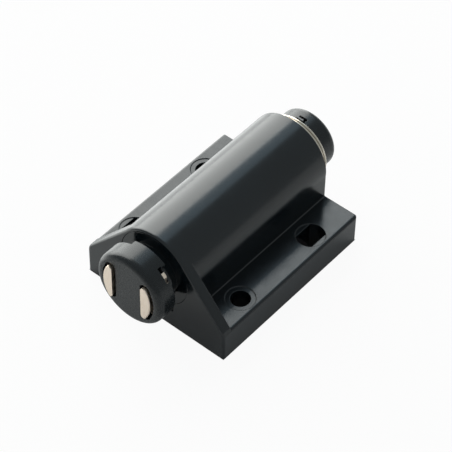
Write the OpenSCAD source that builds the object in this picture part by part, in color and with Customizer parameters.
// Magnetic touch latch for a cabinet or glass door.
// A moulded housing screws to the cabinet; its sprung plunger carries a magnet
// with two steel poles. Pushing the door latches the plunger on a heart-shaped cam,
// and pushing again lets the main spring send it out.
//
// Frame: X across, Y from the head (front) to the tail (rear), Z up from the screwed face.
// Modules measure Y from the front wall; placed() then centres the base on the origin.

/* [Base] */
// Width of the base across both flanges
base_w = 39.2; // [34:0.1:42]
// Length of the base from the front wall to the rear face
base_l = 45.8; // [43:0.1:60]
// Height of the flange top above the screwed face
flange_h = 7.8; // [6.5:0.1:9]
// Radius of the rear upright corners
corner_r = 0.6; // [0.3:0.1:2]
// Radius along the flange's top side edges
flange_edge_r = 0.7; // [0.3:0.1:1]
// Thickness of the gable-shaped front wall
front_wall = 2.5; // [2:0.1:4]
// Radius round the edge of the front wall
front_edge_r = 0.6; // [0.3:0.1:0.8]
// Radius of the front wall's shoulders, between its upright sides and its slopes
shoulder_r = 3; // [1:0.5:4]
// Radius of the fillet where the barrel meets the flange
root_r = 0.3; // [0.2:0.1:1]
// Width of the cored pocket under each flange
core_w = 5; // [3:0.5:5.5]
// Plastic left above the cored pocket
core_skin = 2; // [1.5:0.1:3]

/* [Screw holes] */
// Diameter of the two round holes, and width of the two slots
hole_d = 4.5; // [3:0.1:5]
// Distance between the front and rear holes
hole_pitch_y = 24; // [20:0.5:27]
// Distance from the front wall's face to the front holes
hole_front = 10.5; // [8:0.5:12]
// Flange left outside the shallow ring round each hole
ring_out = 0.9; // [0.6:0.05:1]
// Flange left between the ring and the barrel
ring_in = 1.65; // [0.8:0.05:1.8]
// Depth of the ring
ring_depth = 0.15; // [0.1:0.05:0.6]

/* [Barrel] */
// Height of the barrel's axis above the screwed face
axis_z = 15.1; // [14.5:0.1:16.5]
// Outer diameter of the barrel
barrel_d = 20.5; // [20:0.1:22]
// Wall of the barrel round the plunger
barrel_wall = 0.9; // [0.7:0.05:1.1]
// Extra wall round the main spring, behind the plunger's guide
chamber_step = 1.2; // [0.8:0.1:1.5]
// Thickness of the rear bulkhead that the stem passes through
bulkhead = 2.5; // [2:0.1:3.5]

/* [Head] */
// Distance from the front wall to the head's face
head_out = 8.3; // [8:0.1:11]
// Length of the head cap to the end of its tongues
head_l = 5.9; // [5.6:0.1:7]
// Length of the two tongues, above and below, behind the cap's sides
tongue_l = 1.2; // [0.9:0.1:1.3]
// Width of the tongues
tongue_w = 8.4; // [7:0.1:8.8]
// Turn of the tongues from the vertical, towards the notches
tongue_turn = 8.5; // [7:0.5:9]
// Radius of the head's front rim
rim_r = 1.5; // [0.5:0.1:1.5]
// Side wall of the head cap
cap_wall = 1.2; // [0.9:0.1:1.4]
// Front skin of the head cap
cap_skin = 1.6; // [1.2:0.1:2]
// Depth of the plunger's plug inside the cap
plug_l = 0.8; // [0.7:0.1:1]
// Width of each notch that shows the end of a pole
notch_w = 3.8; // [3.6:0.1:4.2]
// Angle of the notches from the vertical
notch_angle = 46; // [45:0.5:47]

/* [Magnet and poles] */
// Thickness of the magnet between the two poles
magnet_t = 8.1; // [7.4:0.1:8.4]
// Height of the magnet and of the poles beside it
magnet_h = 9.8; // [9.6:0.1:10.4]
// Thickness of each steel pole
pole_t = 2.55; // [2.3:0.05:2.8]
// How far the pole tips stand out of the head's face
pole_proud = 0.6; // [0.2:0.1:1]
// Gap round each pole tip in its slot
slot_gap = 0.6; // [0.2:0.1:0.7]
// Half the straight height of a pole tip, below its rounded ends
tip_half_h = 3.9; // [3.4:0.1:4]
// Radius of the curved outer side of a pole tip
tip_r = 8.5; // [7.5:0.1:9]
// Radius along the curved edge of the pole tips
tip_edge = 0.3; // [0.1:0.05:0.5]
// Width of the lug on one end of a pole, seen in a notch
lug_w = 0.85; // [0.6:0.05:0.9]
// Length of the lug along the axis
lug_l = 1.1; // [0.8:0.1:1.2]
// How far the lug stays inside the cap's outside
lug_depth = 0.75; // [0.5:0.05:0.9]

/* [Plunger] */
// Travel of the plunger from fully out to fully pressed
travel = 6.5; // [4:0.1:6.5]
// Diameter of the neck behind the head
neck_d = 12.8; // [9:0.1:14]
// Distance from the front wall's face to the front of the guide, which closes the mouth
guide_front = 0.1; // [0:0.1:1]
// Length of the guide that slides in the barrel
guide_l = 23.9; // [23:0.1:24.5]
// Length of the close collar at the front of the guide, which keeps dust out of the bore
collar_l = 2; // [1:0.5:4]
// Width of the key under the guide
key_w = 10.4; // [10:0.1:12]
// Drop of the key's flat underside below the axis
key_drop = 9.9; // [9.6:0.1:10]
// Diameter of the stem that carries the main spring
stem_d = 10; // [8:0.1:10.5]

/* [Tail] */
// Outer diameter of the tail cap
tail_d = 14.8; // [13.5:0.1:15.5]
// Length of the tail cap
tail_l = 4.7; // [4.2:0.1:8]
// Radius of the tail cap's rear edge
tail_edge_r = 1.5; // [0.5:0.1:1.6]
// End wall of the tail cap
tail_skin = 1.4; // [1:0.1:2]
// Width of the stem's snap barbs
barb_w = 1.8; // [1.2:0.1:2.4]
// Length of the barbs along the axis
barb_l = 1.5; // [1:0.1:2]

/* [Springs] */
// Wire diameter of the main spring
main_wire = 0.9; // [0.6:0.05:1]
// Turns of the main spring
main_turns = 7; // [5:0.5:8]
// Outer diameter of the buffer coil behind the housing
buffer_d = 17; // [16.8:0.1:18.4]
// Wire diameter of the buffer coil
buffer_wire = 0.6; // [0.4:0.05:0.6]
// Pitch of the buffer coil
buffer_pitch = 0.7; // [0.65:0.05:0.8]
// Whole turns of the buffer coil, which starts and ends below the stem
buffer_turns = 3; // [2:1:4]

/* [Latch pin] */
// Wire diameter of the latch pin
pin_d = 1.2; // [1:0.05:1.3]
// Length of the pin's arm from its pivot to its tip
pin_arm = 11.2; // [10:0.1:11.4]
// Depth of the pin's pivot hole in the floor
pivot_depth = 1.8; // [1:0.1:2]
// Sideways place of each lane of the cam track
lane_x = 2.7; // [2.5:0.1:2.8]
// Half width of the heart between the lanes
heart_half_w = 1.5; // [1.2:0.1:1.6]
// Depth of the cam track
track_depth = 2.0; // [1.5:0.1:2.5]

/* [Fits] */
// Clearance all round the sliding plunger
slide_gap = 0.2; // [0.1:0.05:0.3]
// Gap round the guide's front collar
collar_gap = 0.08; // [0.06:0.01:0.1]
// Clearance round pieces that are pressed or dropped together
seat_gap = 0.05; // [0.02:0.01:0.08]
// Running clearance of the latch pin in its pivot
pivot_gap = 0.05; // [0.03:0.01:0.08]
// Free height above and below the latch pin, and before each stop
free_gap = 0.4; // [0.3:0.05:0.5]

/* [Hidden] */
$fn = 72;
thin = 0.01;
over = 1;
// How far flat faces run into the round barrel, so that they cross it instead of only touching
sink = 0.04;

// Radii about the plunger's axis
barrel_r = barrel_d / 2;
bore_r = barrel_r - barrel_wall;
slide_r = bore_r - slide_gap;
cavity_r = slide_r - cap_wall;
pack_r = cavity_r - seat_gap;
chamber_r = bore_r - chamber_step;
neck_r = neck_d / 2;
stem_r = stem_d / 2;
tail_r = tail_d / 2;

// Places along the axis, measured from the front wall's face
face_y = -head_out;
skin_y = face_y + cap_skin;
back_y = face_y + head_l;
plug_y = back_y - plug_l;
guide_back = guide_front + guide_l;
step_y = guide_back + travel + free_gap;
chamber_end = base_l - bulkhead;

// Holes, placed by the ring that fits on the flange
ring_d = base_w / 2 - barrel_r - ring_out - ring_in;
hole_x = base_w / 2 - ring_out - ring_d / 2;
hole_rear = hole_front + hole_pitch_y;

// Poles: flat inside, round outside, so the tip is a segment of a circle
pole_in = magnet_t / 2;
pole_out = pole_in + pole_t;
tip_front = face_y - pole_proud;
tip_x = pole_out - tip_r;
tip_end_x = tip_x + sqrt(tip_r * tip_r - tip_half_h * tip_half_h);
tip_end_r = (tip_end_x - pole_in) / 2;
side_y = back_y - tongue_l;
lug_y = plug_y - seat_gap - lug_l;
notch_y = lug_y - slide_gap;
lug_r = slide_r - lug_depth;

// Key, track and latch pin
key_z = axis_z - key_drop;
keyway_z = key_z - free_gap + slide_gap / 2;
pin_r = pin_d / 2;
pit_z = keyway_z - pin_d - free_gap;
arm_z = pit_z + free_gap / 2 + pin_r;
tip_z = key_z + track_depth - free_gap;
pin_turn = asin(lane_x / pin_arm);
track_margin = 2.8;
track_end = guide_back - track_margin;
tip_y = track_end - free_gap - pin_r;
pivot_y = tip_y + pin_arm * cos(pin_turn);
track_front = tip_y - travel - pin_r - track_margin;
lane_half_w = pin_r + free_gap;
tip_rise = pin_arm * (1 - cos(pin_turn));
heart_rear = tip_y - tip_rise - pin_r - free_gap / 2;
heart_front = tip_y - travel + pin_r + free_gap;
heart_l = heart_rear - heart_front;

// Buffer coil and tail
buffer_r = (buffer_d - buffer_wire) / 2;
buffer_l = buffer_turns * buffer_pitch + buffer_wire;
barb_y = base_l + buffer_l + seat_gap;
barb_r = buffer_r;
tail_y = barb_y;
tail_end = tail_y + tail_l;
stem_end = tail_end - tail_skin - seat_gap;

black = [0.10, 0.11, 0.12];
charcoal = [0.17, 0.18, 0.19];
nickel = [0.86, 0.83, 0.78];
wire_grey = [0.80, 0.79, 0.75];
ferrite = [0.22, 0.21, 0.21];

// Centres the base on the origin
module placed() translate([0, -base_l / 2, 0]) children();

// Carries a flat X-Z outline from y0 to y1, raised by z
module along_y(y0, y1, z = 0)
    translate([0, y1, z]) rotate([90, 0, 0]) linear_extrude(y1 - y0) children();

// A round bar or bore on the plunger's axis
module rod(r, y0, y1)
    translate([0, y0, axis_z]) rotate([-90, 0, 0]) cylinder(r = r, h = y1 - y0);

// Turns a radius-against-Y profile about the plunger's axis
module turned() translate([0, 0, axis_z]) rotate([-90, 0, 0]) rotate_extrude() children();

// Repeats a shape on the left and the right
module both_sides() {
    children();
    mirror([1, 0, 0]) children();
}

// A profile of radius r from y0 to y1 with one rounded corner at y0
module rounded_at_start(r, y0, y1, edge) {
    translate([0, y0 + edge]) square([r, y1 - y0 - edge]);
    translate([0, y0]) square([r - edge, edge + thin]);
    translate([r - edge, y0 + edge]) circle(edge);
}

// A rectangle between two corners
module span(x0, y0, x1, y1) translate([x0, y0]) square([x1 - x0, y1 - y0]);

// Direction of the gable's slope: the line from the flange corner that meets the barrel's side
slope_r = barrel_r - sink;
slope_n = acos(slope_r / norm([base_w / 2, axis_z - flange_h]))
        - atan2(axis_z - flange_h, base_w / 2);

// Centre of each rounded shoulder, which touches the upright side and the slope
shoulder_x = base_w / 2 - shoulder_r;
shoulder_z = axis_z + (slope_r - shoulder_r - shoulder_x * cos(slope_n)) / sin(slope_n);
shoulder_steps = 4;

// Right half of the gable outline from the floor to the barrel, drawn in by an even margin
function gable_half(inset) = concat(
    [[base_w / 2 - inset, 0]],
    [for (i = [0 : shoulder_steps])
        let (a = slope_n * i / shoulder_steps, r = shoulder_r - inset)
        [shoulder_x + r * cos(a), shoulder_z + r * sin(a)]],
    [[(slope_r - inset) * cos(slope_n), axis_z + (slope_r - inset) * sin(slope_n)]]);

// Gable outline, made of the right half and its mirror image
module gable_outline(inset) {
    half = gable_half(inset);
    polygon(concat(half, [for (i = [len(half) - 1 : -1 : 0]) [-half[i].x, half[i].y]]));
}

// Front wall: slopes from the flange corners up to the barrel, with a rounded front edge
module front_gable() {
    edge_steps = 4;
    hull() {
        for (i = [0 : edge_steps]) {
            a = 90 * i / edge_steps;
            along_y(front_edge_r * (1 - sin(a)), front_edge_r * (1 - sin(a)) + thin)
                gable_outline(front_edge_r * (1 - cos(a)));
        }
        along_y(front_wall - thin, front_wall) gable_outline(0);
    }
}

// Section of the flanges, rounded along the top side edges
module flange_section() {
    w = base_w / 2;
    span(-w, 0, w, flange_h - flange_edge_r);
    span(-w + flange_edge_r, 0, w - flange_edge_r, flange_h);
    both_sides() translate([w - flange_edge_r, flange_h - flange_edge_r]) circle(flange_edge_r);
}

// Plan of the base with rounded rear corners
module base_plan() {
    w = base_w / 2;
    span(-w, front_wall / 2, w, base_l - corner_r);
    span(-w + corner_r, base_l - corner_r - thin, w - corner_r, base_l);
    both_sides() translate([w - corner_r, base_l - corner_r]) circle(corner_r);
}

// Section of the block that carries the barrel, with its root fillets
module saddle_section() {
    w = barrel_r - sink;
    span(-w, 0, w, axis_z);
    both_sides() difference() {
        span(w - thin, flange_h - thin, w + root_r, flange_h + root_r);
        translate([w + root_r, flange_h + root_r]) circle(root_r);
    }
}

// The right flange's two screw holes: round at the front, a double-D slot at the rear
module screw_holes() {
    translate([hole_x, hole_front, -over]) cylinder(d = hole_d, h = flange_h + 2 * over);
    translate([hole_x, hole_rear, -over]) intersection() {
        cylinder(d = ring_d, h = flange_h + 2 * over);
        translate([-hole_d / 2, -ring_d, 0]) cube([hole_d, 2 * ring_d, flange_h + 2 * over]);
    }
    for (y = [hole_front, hole_rear])
        translate([hole_x, y, flange_h - ring_depth]) cylinder(d = ring_d, h = ring_depth + over);
}

// Cored pocket from below, between one flange's holes
module flange_core() {
    r = core_w / 2;
    ends = [hole_front + ring_d, hole_rear - ring_d];
    translate([hole_x, 0, -over]) linear_extrude(flange_h - core_skin + over) {
        for (y = ends) translate([0, y]) circle(r);
        span(-r, ends[0], r, ends[1]);
    }
}

module housing() color(black) difference() {
    union() {
        front_gable();
        intersection() {
            along_y(0, base_l) flange_section();
            linear_extrude(flange_h + over) base_plan();
        }
        along_y(front_wall / 2, base_l) saddle_section();
        turned() rounded_at_start(barrel_r, 0, base_l, front_edge_r);
    }
    rod(bore_r, -over, step_y);
    rod(chamber_r, step_y - thin, chamber_end);
    rod(stem_r + slide_gap, chamber_end - thin, base_l + over);
    // Keyway along the bore's floor
    translate([-key_w / 2 - slide_gap, -over, keyway_z])
        cube([key_w + 2 * slide_gap, step_y + over, axis_z - keyway_z]);
    // Pit for the latch pin's swinging arm, and its pivot hole
    translate([-lane_x - lane_half_w, tip_y - lane_half_w, pit_z])
        cube([2 * (lane_x + lane_half_w), pivot_y - tip_y + 2 * lane_half_w, key_drop / 2]);
    translate([0, pivot_y, pit_z - pivot_depth]) cylinder(r = pin_r + pivot_gap, h = pivot_depth + thin);
    screw_holes();
    // The left flange has the same pair, turned half round the middle of the pattern
    translate([0, hole_front + hole_rear, 0]) rotate([0, 0, 180]) screw_holes();
    both_sides() flange_core();
}

// Outline of one pole tip, grown by a margin: a segment of a circle with rounded ends
module pole_tip(margin) {
    intersection() {
        translate([tip_x, 0]) circle(tip_r + margin);
        span(pole_in - margin, -tip_half_h, pole_out + margin, tip_half_h);
    }
    for (z = [-tip_half_h, tip_half_h])
        translate([pole_in + tip_end_r, z]) circle(tip_end_r + margin);
}

// Repeats a shape after half a turn about the plunger's axis
module half_turned() for (turn = [0, 180])
    translate([0, 0, axis_z]) rotate([0, turn, 0]) translate([0, 0, -axis_z]) children();

module head_cap() color(charcoal) difference() {
    turned() rounded_at_start(slide_r, face_y, back_y, rim_r);
    rod(cavity_r, skin_y, back_y + over);
    both_sides() along_y(face_y - over, skin_y + over, axis_z) pole_tip(slot_gap);
    // Sides cut back, so that a tongue is left above and below
    half_turned() translate([0, 0, axis_z]) rotate([0, tongue_turn, 0])
        translate([tongue_w / 2, side_y, -barrel_r]) cube([barrel_r, tongue_l + over, barrel_d]);
    half_turned() translate([0, 0, axis_z]) rotate([0, notch_angle, 0])
        translate([-notch_w / 2, notch_y, cavity_r - cap_wall])
            cube([notch_w, side_y - notch_y + thin, 3 * cap_wall]);
}

// Heart-shaped island of the cam track: two front lobes with the catch between them, a point behind
module heart() {
    w = heart_half_w;
    lobe_x = w * 3 / 5;
    waist_x = w * 3 / 4;
    catch_y = heart_front + heart_l * 3 / 10;
    shoulder_y = heart_front + heart_l / 3;
    waist_y = heart_front + heart_l * 2 / 3;
    both_sides() polygon([[-thin, catch_y], [0, catch_y], [lobe_x, heart_front], [w, shoulder_y],
                          [waist_x, waist_y], [0, heart_rear], [-thin, heart_rear]]);
}

// Cam track cut into the underside of the key
module cam_track() translate([0, 0, key_z - over]) linear_extrude(track_depth + over) difference() {
    span(-lane_x - lane_half_w, track_front, lane_x + lane_half_w, track_end);
    heart();
}

// Snap barb on the stem: steep in front, ramped behind
module barb() translate([-barb_w / 2, 0, axis_z]) rotate([90, 0, 90]) linear_extrude(barb_w)
    polygon([[barb_y, 0], [barb_y, barb_r], [barb_y + barb_l / 3, barb_r],
             [barb_y + barb_l, stem_r], [barb_y + barb_l, 0]]);

module plunger() color(charcoal) {
    difference() {
        union() {
            rod(pack_r, plug_y, back_y);
            rod(neck_r, back_y - thin, guide_front + thin);
            rod(slide_r, guide_front, guide_back);
            rod(bore_r - collar_gap, guide_front, guide_front + collar_l);
            translate([-key_w / 2, guide_front, key_z]) cube([key_w, guide_l, key_drop]);
            rod(stem_r, guide_back - thin, stem_end);
        }
        cam_track();
    }
    barb();
    translate([0, 0, 2 * axis_z]) mirror([0, 0, 1]) barb();
}

// Steel pole: a segment of the magnet pack with a tip through the head and a lug in a notch
module pole_plate() color(nickel) {
    along_y(skin_y, plug_y, axis_z) intersection() {
        circle(pack_r);
        span(pole_in, -magnet_h / 2, pole_out, magnet_h / 2);
    }
    intersection() {
        translate([tip_x, 0, 0]) turned() rounded_at_start(tip_r, tip_front, skin_y + thin, tip_edge);
        along_y(tip_front - over, skin_y + over, axis_z) pole_tip(0);
    }
    along_y(lug_y, lug_y + lug_l, axis_z) intersection() {
        circle(lug_r);
        span(pole_out - lug_w, 0, pole_out, lug_r);
    }
}

module pole_plate_right() pole_plate();

// The same stamping, turned half round the axis
module pole_plate_left() translate([0, 0, 2 * axis_z]) rotate([0, 180, 0]) pole_plate();

module magnet() color(ferrite)
    translate([-magnet_t / 2, skin_y + seat_gap, axis_z - magnet_h / 2])
        cube([magnet_t, plug_y - skin_y - 2 * seat_gap, magnet_h]);

// Wound wire along the axis from below: the first and last turn lie close, the rest share the length
module coil(mean_r, wire_r, y0, y1, turns, close_turns, steps, sides) {
    close_pitch = 2 * wire_r + seat_gap;
    open_pitch = (y1 - y0 - 2 * wire_r - 2 * close_turns * close_pitch)
               / max(turns - 2 * close_turns, thin);
    rings = ceil(turns * steps);
    function lift(t) = y0 + wire_r + close_pitch * min(t, close_turns)
        + open_pitch * max(0, min(t, turns - close_turns) - close_turns)
        + close_pitch * max(0, t - turns + close_turns);
    function wire_point(i, j) =
        let (t = turns * i / rings, turn = 180 + 360 * t, a = 360 * j / sides,
             r = mean_r + wire_r * cos(a))
        [r * sin(turn), lift(t) + wire_r * sin(a), axis_z + r * cos(turn)];
    points = [for (i = [0 : rings], j = [0 : sides - 1]) wire_point(i, j)];
    skin = [for (i = [0 : rings - 1], j = [0 : sides - 1])
        let (k = (j + 1) % sides)
        [i * sides + j, i * sides + k, (i + 1) * sides + k, (i + 1) * sides + j]];
    first_end = [for (j = [sides - 1 : -1 : 0]) j];
    last_end = [for (j = [0 : sides - 1]) rings * sides + j];
    polyhedron(points, concat(skin, [first_end], [last_end]), convexity = 8);
}

module main_spring() color(wire_grey)
    coil((stem_r + chamber_r) / 2, main_wire / 2, guide_back + seat_gap, chamber_end - seat_gap,
         main_turns, 1, 24, 8);

module buffer_spring() color(wire_grey)
    coil(buffer_r, buffer_wire / 2, base_l + seat_gap, base_l + buffer_l, buffer_turns, 0, 48, 8);

// Tail cap: a thimble on the stem's end, notched for the barbs
module tail_cap() color(charcoal) difference() {
    mirror([0, 1, 0]) turned() rounded_at_start(tail_r, -tail_end, -tail_y, tail_edge_r);
    rod(stem_r + seat_gap, tail_y - over, tail_end - tail_skin);
    translate([-barb_w / 2 - slide_gap, tail_y - over, axis_z - tail_d])
        cube([barb_w + 2 * slide_gap, barb_l + slide_gap + over, 2 * tail_d]);
}

// Latch pin: one bent wire with its pivot leg down and its tip up in the cam track
module latch_pin() color(wire_grey) translate([0, pivot_y, 0]) rotate([0, 0, -pin_turn]) {
    leg_z = pit_z - pivot_depth + free_gap;
    translate([0, 0, leg_z]) cylinder(r = pin_r, h = arm_z - leg_z);
    translate([0, 0, arm_z]) rotate([90, 0, 0]) cylinder(r = pin_r, h = pin_arm);
    translate([0, -pin_arm, arm_z]) cylinder(r = pin_r, h = tip_z - arm_z);
    for (y = [0, -pin_arm]) translate([0, y, arm_z]) sphere(pin_r);
}

placed() housing();
placed() head_cap();
placed() plunger();
placed() pole_plate_left();
placed() pole_plate_right();
placed() magnet();
placed() main_spring();
placed() buffer_spring();
placed() tail_cap();
placed() latch_pin();
